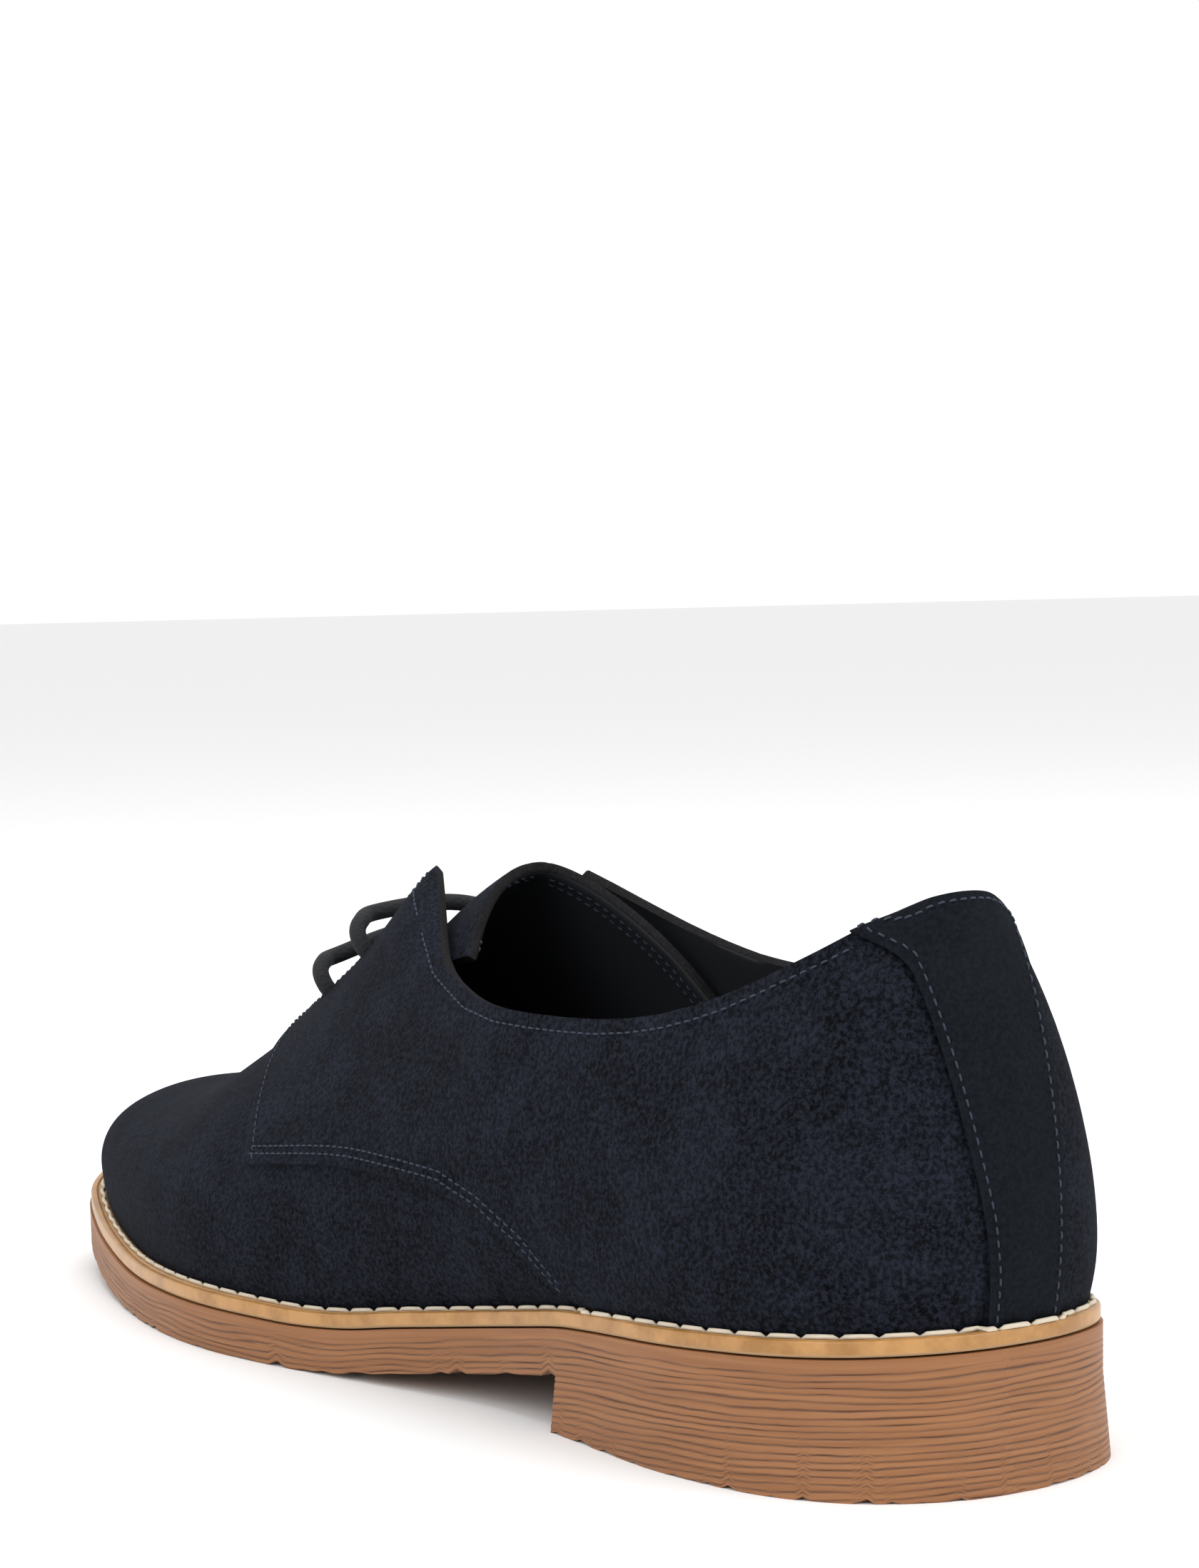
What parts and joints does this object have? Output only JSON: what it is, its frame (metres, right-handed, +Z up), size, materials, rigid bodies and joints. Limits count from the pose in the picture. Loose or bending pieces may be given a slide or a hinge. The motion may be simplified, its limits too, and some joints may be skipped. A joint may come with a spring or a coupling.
{
  "type": "lace-up shoe",
  "caption": "Low open-laced derby shoe in dark suede, standing empty on a welted rubber sole with a low block heel.",
  "frame": {"origin": "on the floor, under the middle of the sole's box", "axes": "+Y towards the toe, +X towards the wearer's right, which is the medial side of this left shoe, +Z up"},
  "size_m": [0.1038, 0.3012, 0.0923],
  "materials": {
    "suede": "napped suede, near-black blue",
    "lining": "smooth lining, matte",
    "welt": "tan leather, edge inked, satin",
    "rubber": "brown moulded rubber, finely ribbed side",
    "lace": "waxed round cotton cord"
  },
  "bodies": {
    "root": {"outsole": "rubber", "welt": "welt", "insole": "lining", "upper": "suede", "tongue": "suede", "lace_bar_upper": "lace", "lace_bar_lower": "lace"}
  },
  "joints": []
}
